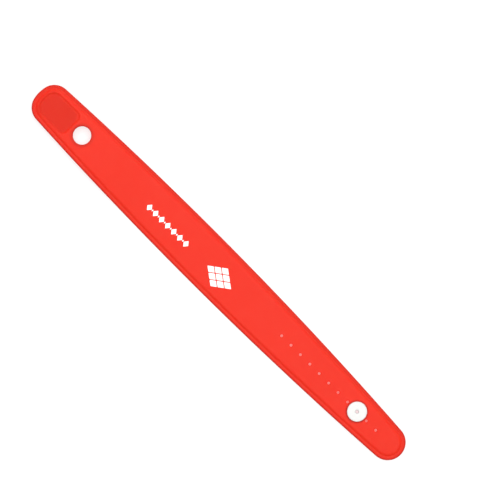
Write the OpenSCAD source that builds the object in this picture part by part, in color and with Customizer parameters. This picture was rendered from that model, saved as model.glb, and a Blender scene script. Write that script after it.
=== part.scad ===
// Silicone wristband, lying open with its front up.
// The band runs along X, from the wide tip at -X to the narrow tip at +X.
// The origin is at the middle of the band, on the surface that it lies on.
// Two metal studs under the wide tip lift it, and so does the button's foot near the narrow tip.

/* [Outline] */
// Length from tip to tip
band_length = 250.6; // [235:0.1:265]
// Width at the widest place
band_width = 26.1; // [25:0.1:29]
// Distance from the wide tip to the widest place
widest_from_tip = 112; // [105:1:120]
// Radius of the two long sides
side_radius = 2000; // [1800:50:3000]
// Radius of the corners at the wide tip
corner_radius = 8.5; // [7:0.1:9]
// Radius of the gently rounded end between them
end_radius = 18; // [15:1:40]

/* [Thickness] */
// Thickness of the raised field
field_thickness = 2.2; // [2:0.1:2.8]
// Thickness of the rim around it
rim_thickness = 1.7; // [1.5:0.1:1.9]
// Width of the rim
rim_width = 1.1; // [0.9:0.1:1.8]
// Width of the groove between rim and field
groove_width = 1.4; // [1:0.1:1.6]
// Depth of the groove below the face of the rim
groove_depth = 0.2; // [0.1:0.1:0.5]

/* [Wide end] */
// Distance from the wide tip to the middle of the clasp
clasp_from_tip = 12.9; // [12.5:0.1:13.5]
// Distance from the wide tip to the near edge of the recess
recess_from_tip = 3.9; // [3.4:0.1:4.5]
// Length of the recess
recess_length = 19.2; // [17:0.1:19.6]
// Width of the recess
recess_width = 13.2; // [11:0.1:13.4]
// Depth of the recess
recess_depth = 0.5; // [0.3:0.1:0.6]
// Distance from the wide tip to the middle of the buttonhole
buttonhole_from_tip = 29.8; // [29:0.1:31]
// Diameter of the buttonhole
buttonhole_diameter = 9; // [8:0.1:10]

/* [Row of holes] */
// Number of small holes
hole_count = 11; // [10:1:12]
// Distance between two small holes
hole_pitch = 6.53; // [6.2:0.01:6.8]
// Diameter of a small hole
hole_diameter = 1.4; // [1.2:0.1:2]
// Distance from the narrow tip to the last small hole
row_from_tip = 17.2; // [15:0.1:18]

/* [Back] */
// Distance from the wide tip to the first flex groove
flex_groove_from_tip = 86.4; // [82:0.1:90]
// Distance between the two flex grooves
flex_groove_spacing = 34.2; // [30:0.1:38]
// Length of the slope that runs out of a flex groove
flex_groove_run = 4.5; // [3:0.1:6]
// Depth of a flex groove
flex_groove_depth = 0.35; // [0.2:0.05:0.5]

/* [Clasp] */
// Length of the clasp plate
plate_length = 13; // [12:0.1:13.5]
// Width of the clasp plate
plate_width = 6.1; // [5.5:0.1:6.5]
// Thickness of the clasp plate
plate_thickness = 0.9; // [0.6:0.1:1]
// Diameter of a stud's neck
neck_diameter = 1.8; // [1.6:0.1:2]
// Diameter of a stud's round head
head_diameter = 3.5; // [3:0.1:3.9]
// Height of a head
head_height = 1.4; // [1.2:0.1:1.6]
// Height of a stud under the back of the band
stud_height = 3.5; // [3.2:0.1:4]
// Width of the slit in the inner end of the plate
slit_width = 0.4; // [0.3:0.1:0.5]

/* [Button] */
// Place of the button, counted in holes from the wide tip
button_hole = 9; // [7:1:9]
// Diameter of the cap
cap_diameter = 9.8; // [9:0.1:10.5]
// Thickness of the cap
cap_thickness = 1.6; // [1.2:0.1:2]
// Diameter of the post
post_diameter = 1.6; // [1.4:0.1:1.8]
// Diameter of the foot
foot_diameter = 7; // [6:0.1:8]
// Thickness of the foot
foot_thickness = 0.8; // [0.6:0.1:1]

/* [Hidden] */

silicone_red = [1.0, 0.26, 0.2];
steel_grey = [0.78, 0.78, 0.8];
button_white = [0.97, 0.97, 0.95];

// Room between the clasp plate and the silicone around it
fit_gap = 0.1;
// Room between the button and the silicone above and below
seat_gap = 0.05;
// Room round the button's post in the hole that it stretches
post_gap = 0.1;
// How far a cutting shape runs past the surface that it cuts
past = 2;

wide_tip = -band_length / 2;
narrow_tip = band_length / 2;
widest_x = wide_tip + widest_from_tip;
side_centre_y = side_radius - band_width / 2;

// Centre of the end circle, and of a corner circle that touches it and one long side from inside
end_x = wide_tip + end_radius;
end_reach = end_radius - corner_radius;
side_reach = side_radius - corner_radius;
to_side = [widest_x - end_x, -side_centre_y];
side_gap = norm(to_side);
along = (pow(end_reach, 2) - pow(side_reach, 2) + pow(side_gap, 2)) / (2 * side_gap);
aside = sqrt(pow(end_reach, 2) - pow(along, 2));
corner_x = end_x + (along * to_side[0] + aside * to_side[1]) / side_gap;
corner_y = (along * to_side[1] - aside * to_side[0]) / side_gap;

// Radius and centre of the one circle at the narrow tip that touches both long sides
narrow_reach = narrow_tip - widest_x;
tip_radius = (pow(side_radius, 2) - pow(narrow_reach, 2) - pow(side_centre_y, 2))
    / (2 * (side_radius - narrow_reach));
tip_x = narrow_tip - tip_radius;

clasp_x = wide_tip + clasp_from_tip;
recess_x = wide_tip + recess_from_tip;
recess_corner = 3.4;
recess_tip_corner = recess_width / 2 - 0.3;
buttonhole_x = wide_tip + buttonhole_from_tip;
buttonhole_edge = 0.4;
last_hole_x = narrow_tip - row_from_tip;
first_hole_x = last_hole_x - (hole_count - 1) * hole_pitch;
button_x = first_hole_x + (button_hole - 1) * hole_pitch;
field_inset = rim_width + groove_width;

// How the band lies: level on the studs, down to the surface, and over the button's foot
slope_start = buttonhole_x + buttonhole_diameter / 2 + 2.5;
slope_run = 38;
foot_level = foot_diameter / 2 + 0.5;
foot_fall_x = button_x + foot_level;
foot_slope_run = narrow_tip - foot_fall_x;
foot_rise_x = button_x - foot_level - foot_slope_run;
foot_lift = foot_thickness + seat_gap;
slope_steps = 12;

function hole_x(i) = first_hole_x + i * hole_pitch;
function ease(u) = u * u * (3 - 2 * u);
function between(x, from, to) = min(max((x - from) / (to - from), 0), 1);

// Height of the band's back above the surface, at a place along the band
function back_height(x) =
    x < foot_rise_x ? stud_height * (1 - ease(between(x, slope_start, slope_start + slope_run)))
    : x < button_x ? foot_lift * ease(between(x, foot_rise_x, foot_rise_x + foot_slope_run))
    : foot_lift * (1 - ease(between(x, foot_fall_x, narrow_tip)));

function steps(from, to) = [for (i = [0 : slope_steps]) from + (to - from) * i / slope_steps];
stations = concat(
    [wide_tip - past],
    steps(slope_start, slope_start + slope_run),
    steps(foot_rise_x, foot_rise_x + foot_slope_run),
    steps(foot_fall_x, narrow_tip),
    [narrow_tip + past]
);

// Points along an arc, without its first one, so that arcs can follow each other
function arc(centre, radius, from, to, count) = [
    for (i = [1 : count])
        let (angle = from + (to - from) * i / count)
            centre + radius * [cos(angle), sin(angle)]
];

// Directions in which a long side touches the circles at the narrow and the wide end
narrow_touch = atan2(side_centre_y, tip_x - widest_x);
wide_touch = atan2(corner_y + side_centre_y, corner_x - widest_x);
// Direction in which a corner circle touches the end circle
end_touch = atan2(corner_y, corner_x - end_x);

// The band from above, moved in from its edge by an inset: arcs that all keep their centres
module outline(inset) {
    polygon(concat(
        arc([tip_x, 0], tip_radius - inset, -narrow_touch, narrow_touch, 36),
        arc([widest_x, -side_centre_y], side_radius - inset, narrow_touch, wide_touch, 20),
        arc([corner_x, corner_y], corner_radius - inset, wide_touch, end_touch, 16),
        arc([end_x, 0], end_radius - inset, end_touch, 360 - end_touch, 8),
        arc([corner_x, -corner_y], corner_radius - inset, 360 - end_touch, 360 - wide_touch, 16),
        arc([widest_x, side_centre_y], side_radius - inset, -wide_touch, -narrow_touch, 20)
    ));
}

// A layer of the lying band, between two heights above its back
module layer(low, high) {
    last = len(stations) - 1;
    rotate([90, 0, 0]) linear_extrude(2 * band_width, center = true) polygon(concat(
        [for (x = stations) [x, back_height(x) + low]],
        [for (i = [0 : last]) [stations[last - i], back_height(stations[last - i]) + high]]
    ));
}

// The space between two outlines, over the whole height
module outline_ring(outer_inset, inner_inset) {
    translate([0, 0, -past]) linear_extrude(stud_height + field_thickness + 2 * past) difference() {
        outline(outer_inset);
        outline(inner_inset);
    }
}

// The shallow recess from above: large corners towards the tip, small ones towards the hole
module recess_outline() {
    tip_x = recess_x + recess_tip_corner;
    end_x = recess_x + recess_length - recess_corner;
    tip_y = recess_width / 2 - recess_tip_corner;
    end_y = recess_width / 2 - recess_corner;
    polygon(concat(
        [[end_x + recess_corner, end_y]],
        arc([end_x, end_y], recess_corner, 0, 90, 8),
        [[tip_x, tip_y + recess_tip_corner]],
        arc([tip_x, tip_y], recess_tip_corner, 90, 180, 12),
        [[tip_x - recess_tip_corner, -tip_y]],
        arc([tip_x, -tip_y], recess_tip_corner, 180, 270, 12),
        [[end_x, -end_y - recess_corner]],
        arc([end_x, -end_y], recess_corner, 270, 360, 8)
    ));
}

// A plate with round ends, seen from above
module round_ended(length, width) {
    middle = length - width;
    translate([-middle / 2, -width / 2]) square([middle, width]);
    for (side = [-1, 1])
        translate([side * middle / 2, 0]) circle(width / 2, $fn = 96);
}

// Round hole through the band, front to back
module through_hole(x, diameter) {
    translate([x, 0, -past])
        cylinder(h = stud_height + field_thickness + 2 * past, d = diameter, $fn = 64);
}

// Flex groove across the back: a sharp step, then a slope that runs out the given way
module flex_groove(x, way) {
    rotate([90, 0, 0]) linear_extrude(2 * band_width, center = true) polygon([
        [x, -past],
        [x, flex_groove_depth],
        [x + way * flex_groove_run, 0],
        [x + way * flex_groove_run, -past]
    ]);
}

// The moulded silicone strap
module band() {
    front = stud_height + field_thickness;
    flex_x = wide_tip + flex_groove_from_tip;
    color(silicone_red) difference() {
        intersection() {
            layer(0, field_thickness);
            translate([0, 0, -past]) linear_extrude(front + 2 * past) outline(0);
        }
        intersection() {
            layer(rim_thickness, field_thickness + past);
            outline_ring(-past, field_inset);
        }
        intersection() {
            layer(rim_thickness - groove_depth, rim_thickness + past);
            outline_ring(rim_width, field_inset);
        }
        translate([0, 0, front - recess_depth]) linear_extrude(recess_depth + past) recess_outline();
        translate([clasp_x, 0, stud_height - past]) linear_extrude(past + plate_thickness + fit_gap)
            round_ended(plate_length + 2 * fit_gap, plate_width + 2 * fit_gap);
        through_hole(buttonhole_x, buttonhole_diameter);
        translate([buttonhole_x, 0, front - buttonhole_edge]) cylinder(
            h = buttonhole_edge + past,
            r1 = buttonhole_diameter / 2,
            r2 = buttonhole_diameter / 2 + buttonhole_edge + past,
            $fn = 96
        );
        for (i = [0 : hole_count - 1])
            through_hole(hole_x(i), i == button_hole - 1 ? post_diameter + 2 * post_gap : hole_diameter);
        flex_groove(flex_x, 1);
        flex_groove(flex_x + flex_groove_spacing, -1);
    }
}

// One round-headed stud under the plate, its head cut flat where it stands on the surface
module stud() {
    foot_radius = 0.8;
    ball_z = sqrt(pow(head_diameter / 2, 2) - pow(foot_radius, 2));
    intersection() {
        translate([0, 0, ball_z]) sphere(d = head_diameter, $fn = 96);
        cylinder(h = head_height, d = 2 * head_diameter, $fn = 64);
    }
    translate([0, 0, head_height / 2])
        cylinder(h = stud_height - head_height / 2 + plate_thickness / 2, d = neck_diameter, $fn = 64);
}

// Metal plate with two studs, set in the back of the wide end
module clasp() {
    slit_x = hole_pitch / 2 + neck_diameter / 2 + 0.3;
    color(steel_grey) translate([clasp_x, 0, 0]) {
        difference() {
            translate([0, 0, stud_height]) linear_extrude(plate_thickness)
                round_ended(plate_length, plate_width);
            translate([slit_x, -slit_width / 2, stud_height - past])
                cube([plate_length, slit_width, plate_thickness + 2 * past]);
        }
        for (side = [-1, 1])
            translate([side * hole_pitch / 2, 0, 0]) stud();
    }
}

// White round cap on the front, with a hole for the post
module button_cap() {
    cap_z = foot_lift + field_thickness + seat_gap;
    cap_edge = 0.4;
    post_room = 0.05;
    color(button_white) translate([button_x, 0, cap_z]) difference() {
        union() {
            cylinder(h = cap_thickness - cap_edge, d = cap_diameter, $fn = 96);
            translate([0, 0, cap_thickness - cap_edge])
                cylinder(h = cap_edge, d1 = cap_diameter, d2 = cap_diameter - 2 * cap_edge, $fn = 96);
        }
        translate([0, 0, -past])
            cylinder(h = cap_thickness + 2 * past, d = post_diameter + 2 * post_room, $fn = 64);
    }
}

// Foot disc under the band with the post that goes up through the hole into the cap
module button_stud() {
    tip_below_cap = 0.6;
    post_height = foot_lift + field_thickness + seat_gap + cap_thickness - tip_below_cap;
    color(button_white) translate([button_x, 0, 0]) {
        cylinder(h = foot_thickness, d = foot_diameter, $fn = 96);
        cylinder(h = post_height, d = post_diameter, $fn = 64);
    }
}

band();
clasp();
button_cap();
button_stud();
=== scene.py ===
# %% [markdown]
# # A silicone wristband, lying open
#
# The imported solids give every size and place. They come in first and stay as they are: each
# piece made below stands for one of them and lies in the same frame. The band runs along X,
# from its wide tip at -X to its narrow tip at +X. Blender counts in metres, and a band is
# thought of in millimetres, so all lengths are written as a number times MM.

# %% Load the solids
from math import atan2, cos, hypot, pi, radians, sin, sqrt

import bpy
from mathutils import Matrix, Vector


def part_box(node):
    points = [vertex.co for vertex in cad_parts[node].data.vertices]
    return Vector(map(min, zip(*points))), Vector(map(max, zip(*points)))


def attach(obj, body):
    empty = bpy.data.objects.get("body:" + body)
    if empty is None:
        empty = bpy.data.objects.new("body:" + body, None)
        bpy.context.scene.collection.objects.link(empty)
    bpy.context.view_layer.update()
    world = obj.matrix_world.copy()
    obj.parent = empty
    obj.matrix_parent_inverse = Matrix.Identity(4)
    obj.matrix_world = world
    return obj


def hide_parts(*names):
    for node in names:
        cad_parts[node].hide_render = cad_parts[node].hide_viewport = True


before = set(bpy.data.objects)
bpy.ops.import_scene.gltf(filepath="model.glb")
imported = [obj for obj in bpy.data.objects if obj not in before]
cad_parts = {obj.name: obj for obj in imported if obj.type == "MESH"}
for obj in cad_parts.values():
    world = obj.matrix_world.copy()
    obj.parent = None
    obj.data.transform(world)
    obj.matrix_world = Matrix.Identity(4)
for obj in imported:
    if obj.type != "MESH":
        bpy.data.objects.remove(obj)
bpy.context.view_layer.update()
MM = 0.001

band_low, band_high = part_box("band")
cap_low, cap_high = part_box("button_cap")
foot_low, foot_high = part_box("button_stud")
clasp_low, clasp_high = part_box("clasp")

# %% [markdown]
# ## Camera
#
# The band was photographed from straight above, turned by 45 degrees in the picture. A long
# lens keeps its two ends the same size, so the camera hangs high over the floor and looks
# down. Its turn about the upright axis sets the slant of the band, and the width of the floor
# that the picture takes in sets its height.

# %% Camera
PICTURE_WIDTH = 244.85 * MM       # how much of the floor the square picture shows
FRONT_HEIGHT = 2.2 * MM           # the front of the band, which was measured in the picture
LENS = 200                        # millimetres, on a 36 mm sensor
SENSOR = 36
TURN = radians(45.12)
LOOK_AT = (2.08 * MM, 18.67 * MM)

camera_data = bpy.data.cameras.new("camera")
camera_data.lens = LENS
camera_data.sensor_width = SENSOR
camera_data.clip_end = 20
camera = bpy.data.objects.new("camera", camera_data)
bpy.context.scene.collection.objects.link(camera)
camera.location = (*LOOK_AT, FRONT_HEIGHT + PICTURE_WIDTH * LENS / SENSOR)
camera.rotation_euler = (0, 0, TURN)
bpy.context.scene.camera = camera
print("camera height in mm:", round(camera.location.z / MM))

# %% [markdown]
# ## Helpers for modelling
#
# Every piece is drawn and shaped with the same operators that a hand would use. An operator
# acts on what is selected, so one helper opens a piece in edit mode with only the points,
# edges or faces selected that lie in a wanted place. The other helpers draw an outline, raise
# it into a solid, turn a profile like a lathe and cut one piece with another.

# %% Select, open and close
KINDS = ("VERT", "EDGE", "FACE")


def activate(piece):
    """Makes a piece the only selected and the active one."""
    bpy.ops.object.select_all(action="DESELECT")
    piece.select_set(True)
    bpy.context.view_layer.objects.active = piece


def open_at(piece, kind, here):
    """Opens a piece in edit mode, with each part selected whose points all pass the test."""
    activate(piece)
    mesh = piece.data
    parts = dict(zip(KINDS, (mesh.vertices, mesh.edges, mesh.polygons)))
    for group in parts.values():
        group.foreach_set("select", [False] * len(group))
    passed = [here(vertex.co) for vertex in mesh.vertices]
    for part in parts[kind]:
        part.select = passed[part.index] if kind == "VERT" else all(
            passed[index] for index in part.vertices)
    bpy.context.tool_settings.mesh_select_mode = [kind == other for other in KINDS]
    bpy.ops.object.mode_set(mode="EDIT")


def open_all(piece):
    """Opens a piece in edit mode with all of it selected."""
    activate(piece)
    bpy.ops.object.mode_set(mode="EDIT")
    bpy.ops.mesh.select_all(action="SELECT")


def close():
    """Leaves edit mode and gives the piece back."""
    bpy.ops.object.mode_set(mode="OBJECT")
    return bpy.context.view_layer.objects.active


def raise_by(height):
    """Extrudes the selected face straight up into a closed solid, with its faces outward."""
    bpy.ops.mesh.extrude_region_move(TRANSFORM_OT_translate={"value": (0, 0, height)})
    bpy.ops.mesh.select_all(action="SELECT")
    bpy.ops.mesh.normals_make_consistent(inside=False)
    return close()


# %% Draw an outline
MERGE_DRAWN = 0.01 * MM           # two points of an outline that are this close are one


def first_point(name, x, y, z):
    """Starts a piece with one point: a small plane that is merged at its centre."""
    bpy.ops.object.select_all(action="DESELECT")
    bpy.ops.mesh.primitive_plane_add(size=MM, location=(x, y, z))
    piece = bpy.context.view_layer.objects.active
    piece.name = piece.data.name = name
    bpy.ops.object.transform_apply(location=True, rotation=False, scale=False)
    bpy.context.tool_settings.mesh_select_mode = (True, False, False)
    bpy.ops.object.mode_set(mode="EDIT")
    bpy.ops.mesh.select_all(action="SELECT")
    bpy.ops.mesh.merge(type="CENTER")
    return piece


def line_by(x, y, z=0.0):
    """Draws a straight line from the last point: extrudes it by a step."""
    bpy.ops.mesh.extrude_region_move(TRANSFORM_OT_translate={"value": (x, y, z)})


def arc_round(centre_x, centre_y, turn, steps):
    """Draws an arc from the last point: spins it round a centre, anticlockwise from above."""
    bpy.ops.mesh.spin(steps=steps, angle=-turn, center=(centre_x, centre_y, 0), axis=(0, 0, 1))


def mirror_and_fill(piece):
    """Mirrors half an outline over the middle of the band and fills it with one face."""
    close()
    activate(piece)
    mirror = piece.modifiers.new("mirror", "MIRROR")
    mirror.use_axis = (False, True, False)
    mirror.merge_threshold = MERGE_DRAWN
    bpy.ops.object.modifier_apply(modifier=mirror.name)
    open_all(piece)
    bpy.ops.mesh.remove_doubles(threshold=MERGE_DRAWN)
    bpy.ops.mesh.edge_face_add()
    close()


# %% Turn, cut and check
MERGE_TURNED = 0.001 * MM         # and two points of a profile


def turned(name, profile, x, steps):
    """Turns a profile, a list of (radius, height), round an upright axis at x. One that
    doesn't begin and end on the axis is closed into a ring."""
    radius, height = profile[0]
    closing = [] if radius == profile[-1][0] == 0 else profile[:1]
    piece = first_point(name, x + radius, 0, height)
    for next_radius, next_height in profile[1:] + closing:
        line_by(next_radius - radius, 0, next_height - height)
        radius, height = next_radius, next_height
    bpy.ops.mesh.select_all(action="SELECT")
    bpy.ops.mesh.remove_doubles(threshold=MERGE_TURNED)
    bpy.ops.mesh.spin(steps=steps, angle=2 * pi, center=(x, 0, 0), axis=(0, 0, 1))
    bpy.ops.mesh.select_all(action="SELECT")
    bpy.ops.mesh.remove_doubles(threshold=2 * MERGE_TURNED)
    bpy.ops.mesh.dissolve_degenerate(threshold=MERGE_TURNED)
    bpy.ops.mesh.select_all(action="SELECT")
    bpy.ops.mesh.normals_make_consistent(inside=False)
    return close()


def combine(piece, tool, way):
    """Cuts a tool out of a piece, or joins it on, and takes the tool away."""
    activate(piece)
    boolean = piece.modifiers.new(way.lower(), "BOOLEAN")
    boolean.operation = way
    boolean.solver = "EXACT"
    boolean.object = tool
    bpy.ops.object.modifier_apply(modifier=boolean.name)
    bpy.data.objects.remove(tool)


def joined(pieces):
    """Joins several pieces into the first one, each with its own mesh."""
    activate(pieces[0])
    for piece in pieces:
        piece.select_set(True)
    bpy.ops.object.join()
    return pieces[0]


def copied(piece, x, z=0.0):
    """A copy of a piece with its own mesh, moved along and up."""
    activate(piece)
    bpy.ops.object.duplicate()
    twin = bpy.context.view_layer.objects.active
    bpy.ops.transform.translate(value=(x, 0, z))
    bpy.ops.object.transform_apply(location=True, rotation=False, scale=False)
    return twin


def finished(piece, node=None, smooth_under=38):
    """Smooths a piece, sets it on its body, hides its solid, and counts its open edges and
    triangles.
    """
    open_all(piece)
    bpy.ops.mesh.select_mode(type="EDGE")
    bpy.ops.mesh.select_all(action="DESELECT")
    bpy.ops.mesh.select_non_manifold()
    close()
    open_edges = sum(edge.select for edge in piece.data.edges)
    activate(piece)
    bpy.ops.object.shade_smooth_by_angle(angle=radians(smooth_under))
    weighted = piece.modifiers.new("weighted", "WEIGHTED_NORMAL")
    weighted.keep_sharp = True
    bpy.ops.object.modifier_apply(modifier=weighted.name)
    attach(piece, "root")
    if node:
        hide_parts(node)
    piece.data.calc_loop_triangles()
    print(f"{piece.name}: {len(piece.data.loop_triangles)} triangles, {open_edges} open edges")


# %% [markdown]
# ## The outline of the band
#
# From above the band is two long, slightly bowed sides, a broad wide end with two rounded
# corners and a round narrow end. A point that is spun round four centres draws exactly that:
# each arc ends where it touches the next one. Half of it is drawn, then mirrored over the
# middle line and filled, so that both sides are the same.

# %% Sizes of the outline
WIDEST_X = -13.3 * MM
SIDE_RADIUS = 2000 * MM
CORNER_RADIUS = 8.5 * MM
END_RADIUS = 18 * MM

wide_tip, narrow_tip = band_low.x, band_high.x
side_centre_y = band_high.y - SIDE_RADIUS
end_x = wide_tip + END_RADIUS

# The corner's centre lies at known distances from the centres of the end and of the side
to_side = Vector((WIDEST_X - end_x, side_centre_y))
along = ((END_RADIUS - CORNER_RADIUS) ** 2 - (SIDE_RADIUS - CORNER_RADIUS) ** 2
         + to_side.length_squared) / (2 * to_side.length)
aside = sqrt((END_RADIUS - CORNER_RADIUS) ** 2 - along ** 2)
corner_x = end_x + (along * to_side.x + aside * to_side.y) / to_side.length
corner_y = (along * to_side.y - aside * to_side.x) / to_side.length

reach = narrow_tip - WIDEST_X
tip_radius = (SIDE_RADIUS ** 2 - reach ** 2 - side_centre_y ** 2) / (2 * (SIDE_RADIUS - reach))
tip_x = narrow_tip - tip_radius
narrow_touch = atan2(-side_centre_y, tip_x - WIDEST_X)
wide_touch = atan2(corner_y - side_centre_y, corner_x - WIDEST_X)
end_touch = atan2(corner_y, corner_x - end_x)
print("corner centre in mm:", round(corner_x / MM, 2), round(corner_y / MM, 2))
print("narrow tip radius in mm:", round(tip_radius / MM, 2))

# %% Draw the outline
TIP_STEPS, SIDE_STEPS, CORNER_STEPS, END_STEPS = 24, 90, 18, 4

band = first_point("band_silicone", narrow_tip, 0, 0)
arc_round(tip_x, 0, narrow_touch, TIP_STEPS)
arc_round(WIDEST_X, side_centre_y, wide_touch - narrow_touch, SIDE_STEPS)
arc_round(corner_x, corner_y, end_touch - wide_touch, CORNER_STEPS)
arc_round(end_x, 0, pi - end_touch, END_STEPS)
mirror_and_fill(band)
print("outline points:", len(band.data.vertices))

# %% [markdown]
# ## Rim, groove and raised field
#
# All round the front runs a low rim, then a faint groove, and inside it the field stands a
# little higher. On the real band the mould gives this in one piece. Here the filled outline is
# extruded to the height of the rim, and its top face is inset again and again: each inset
# goes a little further in and up or down. An even inset keeps every line parallel to the edge.
# The last insets lift the field by a hair towards its middle, because soft silicone that
# shrinks in the mould is never quite flat.

# %% Profile of the front
RIM_HEIGHT = 1.7 * MM
RIM_WIDTH = 1.1 * MM
GROOVE_WIDTH = 1.4 * MM
GROOVE_FLOOR = 1.5 * MM
RIM_DRAFT = 0.45 * MM             # how far the groove's wall leans on the side of the rim
FIELD_DRAFT = 1.0 * MM            # and on the side of the field
FIELD_EDGE = 2.05 * MM
CROWN = ((0.8, 0.05), (1.2, 0.04), (1.4, 0.03), (1.4, 0.03))  # how far in and up, in mm

insets = [
    (RIM_WIDTH, 0),
    (RIM_DRAFT, GROOVE_FLOOR - RIM_HEIGHT),
    (GROOVE_WIDTH - RIM_DRAFT - FIELD_DRAFT / 2, 0),
    (FIELD_DRAFT, FIELD_EDGE - GROOVE_FLOOR),
] + [(width * MM, rise * MM) for width, rise in CROWN]

open_all(band)
raise_by(RIM_HEIGHT)
open_at(band, "FACE", lambda point: point.z > RIM_HEIGHT / 2)
for width, rise in insets:
    bpy.ops.mesh.inset(thickness=width, depth=rise, use_even_offset=True)
close()
print("height of the field in mm:", round(max(v.co.z for v in band.data.vertices) / MM, 3))


# %% [markdown]
# ## Rounded edges
#
# Moulded silicone has no sharp edges, and light catches on their small roundings. Each line
# of the profile gets a bevel of its own radius. A line is found by how far it lies in from
# the outline and by its height, so one function works out how deep inside the outline a
# point is.

# %% Round the edges
def inside_by(point):
    """How far a point lies in from the edge of the band, seen from above."""
    y = abs(point.y)
    if point.x > tip_x and atan2(y, point.x - tip_x) < narrow_touch:
        return tip_radius - hypot(point.x - tip_x, y)
    if point.x < corner_x and atan2(y, point.x - end_x) > end_touch:
        return END_RADIUS - hypot(point.x - end_x, y)
    if atan2(y - side_centre_y, point.x - WIDEST_X) > wide_touch:
        return CORNER_RADIUS - hypot(point.x - corner_x, y - corner_y)
    return SIDE_RADIUS - hypot(point.x - WIDEST_X, y - side_centre_y)


groove_end = RIM_WIDTH + GROOVE_WIDTH
ROUNDINGS = (
    # how far in, how high, radius, segments
    (0, 0, 0.45 * MM, 4),
    (0, RIM_HEIGHT, 0.85 * MM, 5),
    (RIM_WIDTH, RIM_HEIGHT, 0.2 * MM, 3),
    (RIM_WIDTH + RIM_DRAFT, GROOVE_FLOOR, 0.2 * MM, 3),
    (groove_end - FIELD_DRAFT / 2, GROOVE_FLOOR, 0.2 * MM, 3),
    (groove_end + FIELD_DRAFT / 2, FIELD_EDGE, 0.45 * MM, 4),
)
CLOSE = 0.03 * MM

for inside, height, radius, segments in ROUNDINGS:
    open_at(band, "EDGE", lambda point: abs(inside_by(point) - inside) < CLOSE
            and abs(point.z - height) < CLOSE)
    bpy.ops.mesh.bevel(offset=radius, segments=segments, affect="EDGES")
    close()
    print(f"{inside / MM:.2f} mm in: {sum(edge.select for edge in band.data.edges)} edges rounded")

# %% [markdown]
# ## How the band lies
#
# The studs of the clasp hold the wide end off the table, and the band comes down to it in a
# long soft slope. The foot of the button makes a second, low hump. A stiff mesh can't bend,
# so the band is first cut across at even steps. Then the raised stretch is moved up with
# proportional editing: its smooth falloff draws the same S-shaped slope as a beam that is
# held up at one end.

# %% Cut across
BUTTONHOLE_X = wide_tip + 29.8 * MM
BUTTONHOLE_RADIUS = 4.5 * MM
SLOPE_RUN = 38 * MM
SLOPE_STEPS = 16
LEVEL_PAST_HOLE = 2.5 * MM        # the band stays level this far past the buttonhole
LEVEL_PAST_FOOT = 0.5 * MM        # and this far past the rim of the foot
SEAT_GAP = 0.05 * MM              # room between the button and the silicone

field_height = FRONT_HEIGHT
wide_lift = band_high.z - field_height
slope_start = BUTTONHOLE_X + BUTTONHOLE_RADIUS + LEVEL_PAST_HOLE
button_x = (cap_low.x + cap_high.x) / 2
foot_radius = (foot_high.x - foot_low.x) / 2
foot_level = foot_radius + LEVEL_PAST_FOOT
foot_lift = cap_low.z - SEAT_GAP - field_height
foot_run = narrow_tip - button_x - foot_level


def cut_across(piece, places):
    """Cuts a piece with upright planes across the band, without filling the cuts."""
    for x in places:
        open_all(piece)
        bpy.ops.mesh.bisect(plane_co=(x, 0, 0), plane_no=(1, 0, 0))
        close()


def spread(start, run, steps):
    """Even steps from a start over a run, both ends included."""
    return [start + run * step / steps for step in range(steps + 1)]


open_all(band)
bpy.ops.mesh.bisect(plane_co=(0, 0, 0), plane_no=(0, 1, 0))
close()
cut_across(band, spread(slope_start, SLOPE_RUN, SLOPE_STEPS)
           + spread(button_x - foot_level - foot_run, foot_run, SLOPE_STEPS)
           + spread(button_x + foot_level, foot_run, SLOPE_STEPS)[:-1])
print("lift at the wide end and over the foot in mm:",
      round(wide_lift / MM, 2), round(foot_lift / MM, 2))


# %% Lift the wide end and the hump
def lift(piece, here, height, run):
    """Moves a stretch straight up, with a smooth slope of the given length beside it."""
    open_at(piece, "VERT", here)
    bpy.ops.transform.translate(
        value=(0, 0, height), use_proportional_edit=True, proportional_edit_falloff="SMOOTH",
        proportional_size=run, use_proportional_connected=False,
        use_proportional_projected=False)
    close()


lift(band, lambda point: point.x < slope_start + CLOSE, wide_lift, SLOPE_RUN)
lift(band, lambda point: abs(point.x - button_x) < foot_level + CLOSE, foot_lift, foot_run)
print("top of the band in mm:", round(max(v.co.z for v in band.data.vertices) / MM, 3))


# %% [markdown]
# ## Flex grooves in the back
#
# Two shallow grooves cross the back near the middle. Each one has a crisp step on its outer
# side and runs out towards the middle of the band, where it helps the silicone to bend round
# a wrist. The tool is a wedge: a box with one edge pulled down to the surface of the back.

# %% Flex grooves
FLEX_X = (wide_tip + 86.4 * MM, wide_tip + 120.6 * MM)
FLEX_RUN = 4.5 * MM
FLEX_DEPTH = 0.35 * MM

for x, way in zip(FLEX_X, (1, -1)):
    bpy.ops.object.select_all(action="DESELECT")
    bpy.ops.mesh.primitive_cube_add(
        size=1, location=(x + way * FLEX_RUN / 2, 0, 0),
        scale=(FLEX_RUN, 3 * band_high.y, 2 * FLEX_DEPTH))
    wedge = bpy.context.view_layer.objects.active
    bpy.ops.object.transform_apply(location=True, rotation=False, scale=True)
    open_at(wedge, "VERT", lambda point: point.z > 0 and abs(point.x - x) > FLEX_RUN / 2)
    bpy.ops.transform.translate(value=(0, 0, -FLEX_DEPTH))
    close()
    combine(band, wedge, "DIFFERENCE")
    print("flex groove at", round(x / MM, 1), "mm")

# %% [markdown]
# ## Recess, pocket and holes
#
# The wide end has a shallow recess in front and, behind it, the pocket that holds the clasp.
# Next comes the buttonhole, and a row of eleven small holes runs along the narrow end. All of
# them are cut with shaped tools: a tool that widens towards the surface leaves a rounded
# edge, which a plain cylinder wouldn't. One small tool is turned, copied along the row and
# joined, so the row takes a single cut.

# %% Recess in the front
def slope_height(x):
    """Height of the back of the band over the table, on the slopes beside the button."""
    share = min(max((abs(x - button_x) - foot_level) / foot_run, 0), 1)
    return foot_lift * (1 - share * share * (3 - 2 * share))


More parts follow.
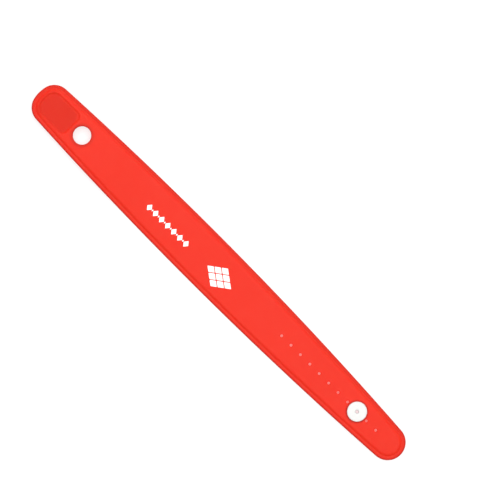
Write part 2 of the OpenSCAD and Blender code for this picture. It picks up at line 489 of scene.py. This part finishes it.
RECESS_START = wide_tip + 3.9 * MM
RECESS_LENGTH = 19.2 * MM
RECESS_HALF_WIDTH = 6.6 * MM
RECESS_TIP_CORNER = 6.3 * MM
RECESS_CORNER = 3.4 * MM
ABOVE = 1 * MM
PAST = 0.01 * MM                  # a tool's edge never lies in the very face that it cuts
RECESS_FLARE = 0.8 * MM           # how much wider the tool is over the surface
RECESS_STEPS = (                  # how far in and down, in mm
    (0.25, 0.03), (0.25, 0.07), (0.22, 0.10), (0.20, 0.11), (0.22, 0.10), (0.25, 0.07),
    (0.30, 0.03))

recess_end = RECESS_START + RECESS_LENGTH
front_height = wide_lift + field_height
flared_half = RECESS_HALF_WIDTH + RECESS_FLARE
recess_tool = first_point("recess_tool", recess_end + RECESS_FLARE, 0, front_height + ABOVE)
line_by(0, flared_half - RECESS_CORNER)
arc_round(recess_end + RECESS_FLARE - RECESS_CORNER, flared_half - RECESS_CORNER,
          pi / 2, steps=10)
line_by(RECESS_START - recess_end - 2 * RECESS_FLARE + RECESS_CORNER + RECESS_TIP_CORNER, 0)
arc_round(RECESS_START - RECESS_FLARE + RECESS_TIP_CORNER, flared_half - RECESS_TIP_CORNER,
          pi / 2, steps=16)
line_by(0, RECESS_TIP_CORNER - flared_half)
mirror_and_fill(recess_tool)

open_all(recess_tool)
raise_by(PAST - ABOVE)
open_at(recess_tool, "FACE", lambda point: point.z < front_height + CLOSE)
for width, depth in RECESS_STEPS:
    bpy.ops.mesh.inset(thickness=width * MM, depth=depth * MM, use_even_offset=True)
close()
combine(band, recess_tool, "DIFFERENCE")
print("recess cut, faces:", len(band.data.polygons))

# %% Pocket for the clasp
POCKET_GAP = 0.1 * MM
PLATE_THICKNESS = 0.9 * MM

clasp_x = (clasp_low.x + clasp_high.x) / 2
plate_half_length = (clasp_high.x - clasp_low.x) / 2
plate_half_width = (clasp_high.y - clasp_low.y) / 2


def round_ended(name, half_length, half_width, height):
    """A flat face with two round ends, centred on the clasp."""
    piece = first_point(name, clasp_x + half_length, 0, height)
    arc_round(clasp_x + half_length - half_width, 0, pi / 2, steps=16)
    line_by(-2 * (half_length - half_width), 0)
    arc_round(clasp_x - half_length + half_width, 0, pi / 2, steps=16)
    mirror_and_fill(piece)
    return piece


pocket_tool = round_ended("pocket_tool", plate_half_length + POCKET_GAP,
                          plate_half_width + POCKET_GAP, wide_lift - ABOVE)
open_all(pocket_tool)
raise_by(ABOVE + PLATE_THICKNESS + POCKET_GAP)
combine(band, pocket_tool, "DIFFERENCE")
print("pocket cut, faces:", len(band.data.polygons))


# %% Buttonhole
def hole_tool(name, x, radius, low, high, edge, steps):
    """A round cutting tool that widens in a quarter circle at both faces of the band."""
    quarter = [radians(angle) for angle in (90, 60, 30, 0)]
    low, high = low - PAST, high + PAST
    upper = [(radius + edge - edge * sin(angle), high - edge + edge * cos(angle))
             for angle in quarter]
    lower = [(r, low + high - z) for r, z in upper]
    wide = radius + edge
    return turned(name, [(0, low - ABOVE), (wide, low - ABOVE)] + lower[::-1] + upper
                  + [(wide, high + ABOVE), (0, high + ABOVE)], x, steps)


BUTTONHOLE_EDGE = 0.45 * MM
combine(band, hole_tool("buttonhole_tool", BUTTONHOLE_X, BUTTONHOLE_RADIUS, wide_lift,
                        front_height, BUTTONHOLE_EDGE, steps=96), "DIFFERENCE")
print("buttonhole cut, faces:", len(band.data.polygons))

# %% Row of small holes
HOLES = 11
HOLE_PITCH = 6.53 * MM
HOLE_RADIUS = 0.7 * MM
HOLE_EDGE = 0.15 * MM
BUTTON_HOLE = 9
STRETCHED_RADIUS = 0.9 * MM       # the ninth hole is stretched by the button's post

first_hole_x = button_x - (BUTTON_HOLE - 1) * HOLE_PITCH
last_hole_x = first_hole_x + (HOLES - 1) * HOLE_PITCH
small_tool = hole_tool("hole_tool", first_hole_x, HOLE_RADIUS, 0, field_height, HOLE_EDGE,
                       steps=32)
wide_tool = hole_tool("wide_tool", button_x, STRETCHED_RADIUS, foot_lift,
                      foot_lift + field_height, HOLE_EDGE, steps=32)
row_tool = joined([small_tool, wide_tool] + [
    copied(small_tool, step * HOLE_PITCH, slope_height(first_hole_x + step * HOLE_PITCH))
    for step in range(1, HOLES) if step != BUTTON_HOLE - 1])
combine(band, row_tool, "DIFFERENCE")
print("row of holes cut, faces:", len(band.data.polygons))

finished(band, "band")

# %% [markdown]
# Painted shade darkens the red near the edge of the front, where the rounded edge turns from the
# light. How near a point of the front is to the edge is stored in the mesh as a number from 0 to
# 1, which the red reads later.

# %% Mark the painted shade at the edge
EDGE_SHADE_TABLE = (                       # how far in, how much painted shade
    (0, 1.0), (0.5 * MM, 0.85), (0.9 * MM, 0.5), (1.4 * MM, 0.33), (1.9 * MM, 0.12),
    (2.6 * MM, 0.0))
LOOKS_DOWN = -0.3                 # a normal under this height belongs to the back


def edge_shade_from(inside):
    """How much painted shade darkens the red this far in from the edge, read from the table above.
    """
    for (near, high), (far, low) in zip(EDGE_SHADE_TABLE, EDGE_SHADE_TABLE[1:]):
        if inside < far:
            return high + (low - high) * max(inside - near, 0) / (far - near)
    return 0.0


marks = band.data.attributes.new("painted_edge_shade", "FLOAT", "POINT")
marks.data.foreach_set("value", [
    edge_shade_from(inside_by(vertex.co)) if vertex.normal.z > LOOKS_DOWN else 0.0
    for vertex in band.data.vertices])
print("points near the edge:", sum(mark.value > 0 for mark in marks.data))

# %% [markdown]
# ## The clasp
#
# A stamped steel plate with round ends is set into the back of the wide end. Two studs stand
# out of it, and their round heads snap into two of the small holes when the band is closed.
# The plate is a filled outline, extruded and bevelled. A stud is turned once, copied, and both
# are joined to the plate, because on the real one they are riveted tight.

# %% Plate with its slit
PLATE_EDGE = 0.12 * MM
SLIT_WIDTH = 0.4 * MM
SLIT_PAST_STUD = 1.2 * MM         # from the axis of the inner stud to the end of the slit

slit_x = clasp_x + HOLE_PITCH / 2 + SLIT_PAST_STUD
clasp = round_ended("clasp_steel", plate_half_length, plate_half_width, wide_lift)
open_all(clasp)
raise_by(PLATE_THICKNESS)
for height in (wide_lift, wide_lift + PLATE_THICKNESS):
    open_at(clasp, "EDGE", lambda point: abs(point.z - height) < CLOSE)
    bpy.ops.mesh.bevel(offset=PLATE_EDGE, segments=3, affect="EDGES")
    close()

bpy.ops.object.select_all(action="DESELECT")
bpy.ops.mesh.primitive_cube_add(
    size=1, location=(slit_x + plate_half_length / 2, 0, wide_lift),
    scale=(plate_half_length, SLIT_WIDTH, 4 * PLATE_THICKNESS))
slit = bpy.context.view_layer.objects.active
bpy.ops.object.transform_apply(location=True, rotation=False, scale=True)
combine(clasp, slit, "DIFFERENCE")

# %% Studs
HEAD_RADIUS = 1.75 * MM
HEAD_FOOT = 0.8 * MM              # the small flat on which the head stands
BALL_TOP = 1.28 * MM              # how high the ball shape of the head reaches
HEAD_STEPS = 12
NECK = (                          # radius and height in mm, from the head up into the plate
    (1.69, 1.37), (1.62, 1.40), (1.02, 1.40), (0.93, 1.44), (0.9, 1.55), (0.9, 3.15),
    (0.93, 3.32), (1.02, 3.44), (1.18, 3.5), (1.18, 3.9), (0, 3.9))

ball_z = sqrt(HEAD_RADIUS ** 2 - HEAD_FOOT ** 2)
start, end = -atan2(ball_z, HEAD_FOOT), -atan2(ball_z - BALL_TOP, HEAD_RADIUS)
head = [(HEAD_RADIUS * cos(start + (end - start) * step / HEAD_STEPS),
         ball_z + HEAD_RADIUS * sin(start + (end - start) * step / HEAD_STEPS))
        for step in range(HEAD_STEPS + 1)]
neck = [(radius * MM, height * MM) for radius, height in NECK]
stud = turned("stud", [(0, 0)] + head + neck, clasp_x - HOLE_PITCH / 2, steps=64)
studs = joined([stud, copied(stud, HOLE_PITCH)])
combine(clasp, studs, "UNION")
finished(clasp, "clasp")

# %% [markdown]
# ## The button
#
# The round white button is two mouldings: a cap on the front, and under the band a flat foot
# with a post that comes up through the ninth hole into the cap. Both are turned parts, so a
# profile is drawn with all its roundings and spun round the axis of the hole. In the middle of
# the cap the end of the post shows a little below the surface.

# %% Cap
cap_radius = (cap_high.x - cap_low.x) / 2
CAP_BORE = 0.85 * MM
CAP_EDGE = 0.5 * MM
CAP_DOME = 0.12 * MM

cap_edge = [(cap_radius - CAP_EDGE + CAP_EDGE * cos(radians(angle)),
             cap_high.z - CAP_DOME - CAP_EDGE + CAP_EDGE * sin(radians(angle)))
            for angle in range(0, 91, 15)]
# Out over the underside, round the edge, in over the dome and down into the bore
cap_profile = [
    (CAP_BORE, cap_low.z), (cap_radius - 0.4 * MM, cap_low.z),
    (cap_radius - 0.12 * MM, cap_low.z + 0.12 * MM), (cap_radius, cap_low.z + 0.4 * MM),
] + cap_edge + [
    (3.4 * MM, cap_high.z - 0.06 * MM), (2.4 * MM, cap_high.z - 0.02 * MM),
    (1.2 * MM, cap_high.z), (0.96 * MM, cap_high.z - 0.05 * MM),
    (CAP_BORE, cap_high.z - 0.18 * MM),
]
cap = turned("button_cap_white", cap_profile, button_x, steps=96)
finished(cap, "button_cap")

# %% Foot and post
FOOT_THICKNESS = 0.8 * MM
POST_RADIUS = 0.8 * MM

# From the dimple under it out, round the edge of the foot, in, and up the post
foot_profile = [
    (0, 0.08 * MM), (0.6 * MM, 0.08 * MM), (0.75 * MM, 0),
    (foot_radius - 0.3 * MM, 0), (foot_radius - 0.09 * MM, 0.09 * MM),
    (foot_radius, 0.3 * MM), (foot_radius, FOOT_THICKNESS - 0.25 * MM),
    (foot_radius - 0.07 * MM, FOOT_THICKNESS - 0.07 * MM),
    (foot_radius - 0.25 * MM, FOOT_THICKNESS), (POST_RADIUS, FOOT_THICKNESS),
    (POST_RADIUS, foot_high.z - 0.15 * MM), (POST_RADIUS - 0.05 * MM, foot_high.z - 0.04 * MM),
    (POST_RADIUS - 0.15 * MM, foot_high.z), (0, foot_high.z)]
foot = turned("button_foot_white", foot_profile, button_x, steps=72)
finished(foot, "button_stud")

# %% [markdown]
# ## Printed ornament
#
# The front is screen printed with white ink in two places. The ink is a skin some hundredths
# of a millimetre thick. A flat ornament of rhombs stands there: one is a circle of four points
# that is stretched, filled and extruded, and copies of it make a row and a larger rhomb. The
# skin reaches a little into the silicone, so no gap opens under it where the field curves.

# %% Rhombs of ink
INK_TOP = 0.03 * MM
INK_BELOW = 0.08 * MM
SOFTENED = 0.12                   # the cut at a corner, as a share of half the length
ROW_CENTRE = (-34.8 * MM, -1.45 * MM)
ROW_STEP = 4.2 * MM
ROW_SIDE = 3                      # rhombs on either side of the middle one
ROW_RHOMB = (1.55 * MM, 1.9 * MM)  # half the length and half the width
LINK_RHOMB = (0.45 * MM, 0.6 * MM)
LATTICE_CENTRE = (0.95 * MM, -1.45 * MM)
LATTICE_STEP = (2.85 * MM, 2.1 * MM)
LATTICE_RHOMB = (2.5 * MM, 1.85 * MM)


def rhomb(x, y, half_length, half_width):
    """One plate of ink, a rhomb with softened corners."""
    bpy.ops.object.select_all(action="DESELECT")
    bpy.ops.mesh.primitive_circle_add(
        vertices=4, radius=1, fill_type="NGON", location=(x, y, field_height - INK_BELOW))
    plate = bpy.context.view_layer.objects.active
    bpy.ops.transform.resize(value=(half_length, half_width, 1))
    bpy.ops.object.transform_apply(location=True, rotation=False, scale=True)
    bpy.context.tool_settings.mesh_select_mode = (True, False, False)
    open_all(plate)
    bpy.ops.mesh.bevel(offset=SOFTENED * half_length, segments=3, affect="VERTICES")
    bpy.ops.mesh.select_all(action="SELECT")
    return raise_by(INK_BELOW + INK_TOP)


plates = []
for step in range(-ROW_SIDE, ROW_SIDE + 1):
    x, y = ROW_CENTRE[0] + step * ROW_STEP, ROW_CENTRE[1]
    plates.append(rhomb(x, y, *ROW_RHOMB))
    if step < ROW_SIDE:
        plates.append(rhomb(x + ROW_STEP / 2, y, *LINK_RHOMB))
for i in (-1, 0, 1):
    for j in (-1, 0, 1):
        plates.append(rhomb(LATTICE_CENTRE[0] + (i + j) * LATTICE_STEP[0],
                            LATTICE_CENTRE[1] + (i - j) * LATTICE_STEP[1], *LATTICE_RHOMB))
ink = joined(plates)
ink.name = ink.data.name = "print_ink"
finished(ink)


# %% [markdown]
# ## Materials
#
# A material starts from what the real one is. Two helpers are enough: one turns the colour
# that the eye sees, a hex value, into the linear light that the shader counts in, and one adds
# a node with its settings and links. Every pattern reads the piece's own coordinates, in
# metres, so its scale is one divided by a real size.

# %% Helpers for materials
def colour(hex_value):
    """An sRGB hex colour as linear red, green, blue and alpha."""
    parts = [int(hex_value[index:index + 2], 16) / 255 for index in (1, 3, 5)]
    return (*[part / 12.92 if part <= 0.04045 else ((part + 0.055) / 1.055) ** 2.4
              for part in parts], 1.0)


def per(size):
    """The scale of a pattern whose repeat has this size."""
    return 1 / size


def add(material, kind, settings=None, links=None):
    """Adds a node to a material: settings are its own values or its sockets', links go in.
    A socket is given by its name, or by its number where several share one name."""
    node = material.node_tree.nodes.new(kind)
    for name, value in (settings or {}).items():
        if isinstance(name, int) or name in node.inputs:
            node.inputs[name].default_value = value
        else:
            setattr(node, name, value)
    for name, socket in (links or {}).items():
        material.node_tree.links.new(socket, node.inputs[name])
    return node


FIRST, SECOND, MIXED = 6, 7, 2    # the colour sockets of a Mix node, in and out


def between(material, factor, first, second):
    """A colour that drifts between two hex values."""
    return add(material, "ShaderNodeMix", {
        "data_type": "RGBA", FIRST: colour(first), SECOND: colour(second)},
        {"Factor": factor}).outputs[MIXED]


def around(material, place, centre, weights, full, none):
    """1 as far as one distance from a centre, 0 from another on, soft between. The weights say
    how much a step along X, Y and Z counts; 0 along Z makes the ball an upright column."""
    weighed = add(material, "ShaderNodeMapping", {
        "Location": -Vector(centre) * Vector(weights), "Scale": Vector(weights)},
        {"Vector": place})
    far = add(material, "ShaderNodeVectorMath", {"operation": "LENGTH"},
              {0: weighed.outputs["Vector"]})
    return add(material, "ShaderNodeMapRange", {
        "interpolation_type": "SMOOTHSTEP", "From Min": none, "From Max": full},
        {"Value": far.outputs["Value"]}).outputs["Result"]


def extreme(material, way, first, second):
    """The larger or the smaller one of two numbers, for MAXIMUM or MINIMUM."""
    return add(material, "ShaderNodeMath", {"operation": way},
               {0: first, 1: second}).outputs["Value"]


def new_material(name):
    """An empty material with its output node, and the piece's own coordinates."""
    material = bpy.data.materials.new(name)
    material.use_nodes = True
    material.node_tree.nodes.clear()
    place = add(material, "ShaderNodeTexCoord").outputs["Object"]
    return material, place


def finish_material(material, shader, *pieces):
    """Links a shader to the output and gives the material to its pieces."""
    add(material, "ShaderNodeOutputMaterial", links={"Surface": shader.outputs["BSDF"]})
    for piece in pieces:
        piece.data.materials.clear()
        piece.data.materials.append(material)
    print("material:", material.name)


# %% [markdown]
# Moulded silicone is a satin rubber: it scatters light softly under its skin and has a broad,
# weak shine. The mould was blasted, which leaves a fine grain, and the pigment is never quite
# even. So the colour drifts a little over some centimetres, the roughness over some
# millimetres, and a bump of a few tenths of a millimetre breaks the shine. In the recess the
# silicone is thin over the steel of the clasp. The deeper red painted there is painted shade, and
# it reaches a little beyond the recess on two sides, towards the tip and towards -Y. The place is
# found by its distance from a box with rounded corners, and by that from a point, which rounds its
# end at the tip.
# The height is stretched tenfold first, which keeps the deeper red off the back of the band.
# Painted shade also deepens the red along the edge, round the buttonhole and close to the
# button.

# %% Red moulded silicone
silicone, place = new_material("silicone_moulded_satin_red")
drift = add(silicone, "ShaderNodeTexNoise", {"Scale": per(30 * MM), "Detail": 2.0},
            {"Vector": place})
red = between(silicone, drift.outputs["Fac"], "#DF2A14", "#E22D17")

# %% Painted shade in the recess
STRETCH = 10
DEEP_START = RECESS_START - 1.2 * MM
DEEP_ASIDE = -0.5 * MM            # its middle lies this far off the axis, towards -Y, away from the lamps
DEEP_HALF_WIDTH = RECESS_HALF_WIDTH + 0.3 * MM
DEEP_TIP_ROUND = 11 * MM          # its end next to the tip is an arc of this radius
DEEP_REACH = 1 * MM               # how far it goes up and down from the front
COLUMN, FRONT_ONLY = (1, 1, 0), (1, 1, STRETCH)

deep_centre = Vector(((DEEP_START + recess_end) / 2, DEEP_ASIDE, front_height))
deep_core = Vector(((recess_end - DEEP_START) / 2 - RECESS_CORNER,
                    DEEP_HALF_WIDTH - RECESS_CORNER, STRETCH * DEEP_REACH))
local = add(silicone, "ShaderNodeMapping", {
    "Location": Vector((-deep_centre.x, -deep_centre.y, -deep_centre.z * STRETCH)),
    "Scale": Vector((1, 1, STRETCH))}, {"Vector": place})
folded = add(silicone, "ShaderNodeVectorMath", {"operation": "ABSOLUTE"},
             {0: local.outputs["Vector"]})
beyond = add(silicone, "ShaderNodeVectorMath", {"operation": "SUBTRACT", 1: deep_core},
             {0: folded.outputs["Vector"]})
outside = add(silicone, "ShaderNodeVectorMath", {"operation": "MAXIMUM", 1: (0, 0, 0)},
              {0: beyond.outputs["Vector"]})
distance = add(silicone, "ShaderNodeVectorMath", {"operation": "LENGTH"},
               {0: outside.outputs["Vector"]})
boxed = add(silicone, "ShaderNodeMapRange", {
    "interpolation_type": "SMOOTHSTEP", "From Min": RECESS_CORNER + 0.7 * MM,
    "From Max": RECESS_CORNER - 1.5 * MM}, {"Value": distance.outputs["Value"]})
tip_round = around(silicone, place, (DEEP_START + DEEP_TIP_ROUND, DEEP_ASIDE, front_height),
                   FRONT_ONLY, DEEP_TIP_ROUND - 1.2 * MM, DEEP_TIP_ROUND + 0.5 * MM)
recess_shade = extreme(silicone, "MINIMUM", boxed.outputs["Result"], tip_round)

# %% Painted shade at the edges
outer_edge_shade = add(silicone, "ShaderNodeAttribute", {"attribute_name": "painted_edge_shade"}).outputs["Fac"]
buttonhole_shade = around(silicone, place, (BUTTONHOLE_X, 0, 0), COLUMN,
                   BUTTONHOLE_RADIUS + 0.2 * MM, BUTTONHOLE_RADIUS + 2 * MM)
button_shade = around(silicone, place, (button_x, 0, foot_lift + field_height), FRONT_ONLY,
                     cap_radius + 0.3 * MM, cap_radius + 1.3 * MM)
edges = extreme(silicone, "MAXIMUM", outer_edge_shade,
                extreme(silicone, "MAXIMUM", buttonhole_shade, button_shade))
# painted shade: a darker red along the edge, round the buttonhole and beside the button
edge_shaded = add(silicone, "ShaderNodeMix", {"data_type": "RGBA", SECOND: colour("#C8220C")},
            {"Factor": edges, FIRST: red})
# painted shade: the deeper red in and round the recess
recess_shaded = add(silicone, "ShaderNodeMix", {"data_type": "RGBA", SECOND: colour("#D12002")},
           {"Factor": recess_shade, FIRST: edge_shaded.outputs[MIXED]})

# %% Shine and grain of the silicone
smear = add(silicone, "ShaderNodeTexNoise", {"Scale": per(6 * MM), "Detail": 3.0},
            {"Vector": place})
satin = add(silicone, "ShaderNodeMapRange", {"To Min": 0.44, "To Max": 0.58},
            {"Value": smear.outputs["Fac"]})
grain = add(silicone, "ShaderNodeTexNoise", {"Scale": per(0.35 * MM), "Detail": 2.0},
            {"Vector": place})
bump = add(silicone, "ShaderNodeBump", {"Strength": 0.12, "Distance": 0.05 * MM},
           {"Height": grain.outputs["Fac"]})
shader = add(silicone, "ShaderNodeBsdfPrincipled", {
    "IOR": 1.41, "Subsurface Weight": 0.6, "Subsurface Radius": (1.0, 0.25, 0.15),
    "Subsurface Scale": 0.6 * MM, "Specular IOR Level": 0.25,
}, {"Base Color": recess_shaded.outputs[MIXED], "Roughness": satin.outputs["Result"],
    "Normal": bump.outputs["Normal"]})
finish_material(silicone, shader, band)

# %% [markdown]
# Acetal is a dense, waxy white plastic with a soft gloss. It comes smooth out of its mould and
# takes only a slight mottle. The end of the post, sunk in the bore in the middle, gets painted
# shade tinged with painted red light from the band.

# %% White acetal
acetal, place = new_material("acetal_moulded_white")
mottle = add(acetal, "ShaderNodeTexNoise", {"Scale": per(3 * MM), "Detail": 2.0}, {"Vector": place})
white = between(acetal, mottle.outputs["Fac"], "#DBDBD9", "#DFDFDD")
middle = around(acetal, place, (button_x, 0, foot_high.z), (1, 1, 1),
                POST_RADIUS - 0.2 * MM, POST_RADIUS + 0.3 * MM)
# painted shade with painted red light, on the end of the post in the bore
post_end_shaded = add(acetal, "ShaderNodeMix", {"data_type": "RGBA", SECOND: colour("#DCC6C7")},
             {"Factor": middle, FIRST: white})
gloss = add(acetal, "ShaderNodeMapRange", {"To Min": 0.28, "To Max": 0.38},
            {"Value": mottle.outputs["Fac"]})
fine = add(acetal, "ShaderNodeTexNoise", {"Scale": per(0.5 * MM), "Detail": 1.0}, {"Vector": place})
bump = add(acetal, "ShaderNodeBump", {"Strength": 0.06, "Distance": 0.03 * MM},
           {"Height": fine.outputs["Fac"]})
shader = add(acetal, "ShaderNodeBsdfPrincipled", {
    "IOR": 1.48, "Subsurface Weight": 0.1, "Subsurface Radius": (1.0, 0.9, 0.8),
    "Subsurface Scale": 0.6 * MM,
}, {"Base Color": post_end_shaded.outputs[MIXED], "Roughness": gloss.outputs["Result"],
    "Normal": bump.outputs["Normal"]})
finish_material(acetal, shader, cap, foot)

# %% [markdown]
# The clasp is stainless steel, stamped and then tumbled bright. Tumbling leaves fine random
# scratches, which show as small changes of the shine.

# %% Tumbled stainless steel
steel, place = new_material("stainless_steel_tumbled")
scratches = add(steel, "ShaderNodeTexNoise", {"Scale": per(0.8 * MM), "Detail": 4.0},
                {"Vector": place})
shine = add(steel, "ShaderNodeMapRange", {"To Min": 0.12, "To Max": 0.3},
            {"Value": scratches.outputs["Fac"]})
tone = between(steel, scratches.outputs["Fac"], "#C9C9CB", "#DCDCDC")
bump = add(steel, "ShaderNodeBump", {"Strength": 0.1, "Distance": 0.02 * MM},
           {"Height": scratches.outputs["Fac"]})
shader = add(steel, "ShaderNodeBsdfPrincipled", {"Metallic": 1.0}, {
    "Base Color": tone, "Roughness": shine.outputs["Result"],
    "Normal": bump.outputs["Normal"]})
finish_material(steel, shader, clasp)

# %% [markdown]
# Screen ink on silicone is itself a silicone ink: matt, opaque and very even, with the faint
# weave of the screen in its surface.

# %% White screen ink
screen_ink, place = new_material("screen_ink_white")
weave = add(screen_ink, "ShaderNodeTexNoise", {"Scale": per(0.4 * MM), "Detail": 2.0},
            {"Vector": place})
chalk = between(screen_ink, weave.outputs["Fac"], "#F6F5F3", "#FBFAF8")
bump = add(screen_ink, "ShaderNodeBump", {"Strength": 0.08, "Distance": 0.02 * MM},
           {"Height": weave.outputs["Fac"]})
shader = add(screen_ink, "ShaderNodeBsdfPrincipled", {"Roughness": 0.5, "IOR": 1.41},
             {"Base Color": chalk, "Normal": bump.outputs["Normal"]})
finish_material(screen_ink, shader, ink)

# %% [markdown]
# ## Floor and light
# Small goods like this are shot on a white table in very soft light. A pale floor that glows,
# as a light table does, keeps the background white and shines up through the holes. Under the
# row of small holes its glow is painted red: painted light that stands for light passed through
# the silicone. A large soft lamp hangs almost straight above, and a weaker one on the +Y side
# draws the groove.

# %% Floor
FLOOR_SIZE = 8                    # metres
TABLE_GLOW = (1, 1.05, 1.05, 1)   # a trace of blue-green, against the red that the band throws
ROW_GLOW = (1.25, 0.24, 0.21, 1)  # painted red glow, for light passed through the silicone
ALONG_ROW = (0.1, 1, 0)           # weights that stretch the glow tenfold along the row

bpy.ops.object.select_all(action="DESELECT")
bpy.ops.mesh.primitive_plane_add(size=FLOOR_SIZE, location=(0, 0, 0))
floor = bpy.context.view_layer.objects.active
floor.name = floor.data.name = "floor"
table_top, place = new_material("light_table_white")
cloud = add(table_top, "ShaderNodeTexNoise", {"Scale": per(400 * MM)}, {"Vector": place})
pale = between(table_top, cloud.outputs["Fac"], "#AAAAAA", "#ADADAD")
# painted light: the mask for the red glow on the floor under the row of holes
under_row = around(table_top, place, ((first_hole_x + last_hole_x) / 2, 0, 0), ALONG_ROW,
                   4 * MM, 4.9 * MM)
glow = add(table_top, "ShaderNodeMix", {
    "data_type": "RGBA", FIRST: TABLE_GLOW, SECOND: ROW_GLOW}, {"Factor": under_row})
shader = add(table_top, "ShaderNodeBsdfPrincipled", {
    "Roughness": 0.7, "Emission Strength": 0.58, "Specular IOR Level": 0.2},
    {"Base Color": pale, "Emission Color": glow.outputs[MIXED]})
finish_material(table_top, shader, floor)


# %% Lights
def soft_lamp(name, place, size, power):
    """A square lamp that looks at the middle of the band."""
    data = bpy.data.lights.new(name, "AREA")
    data.shape = "SQUARE"
    data.size = size
    data.energy = power
    lamp = bpy.data.objects.new(name, data)
    bpy.context.scene.collection.objects.link(lamp)
    lamp.location = place
    lamp.rotation_euler = (-Vector(place)).to_track_quat("-Z", "Y").to_euler()


# Places and sizes in metres, powers in watts
soft_lamp("softbox", (-0.1, 0.13, 1.6), 2.4, 41)
soft_lamp("key_lamp", (-0.25, 0.9, 0.9), 0.8, 3)
world = bpy.data.worlds.new("studio")
bpy.context.scene.world = world
world.use_nodes = True
background = world.node_tree.nodes["Background"]
background.inputs["Color"].default_value = (1, 1, 1, 1)
background.inputs["Strength"].default_value = 0.28
bpy.context.scene.view_settings.view_transform = "Standard"
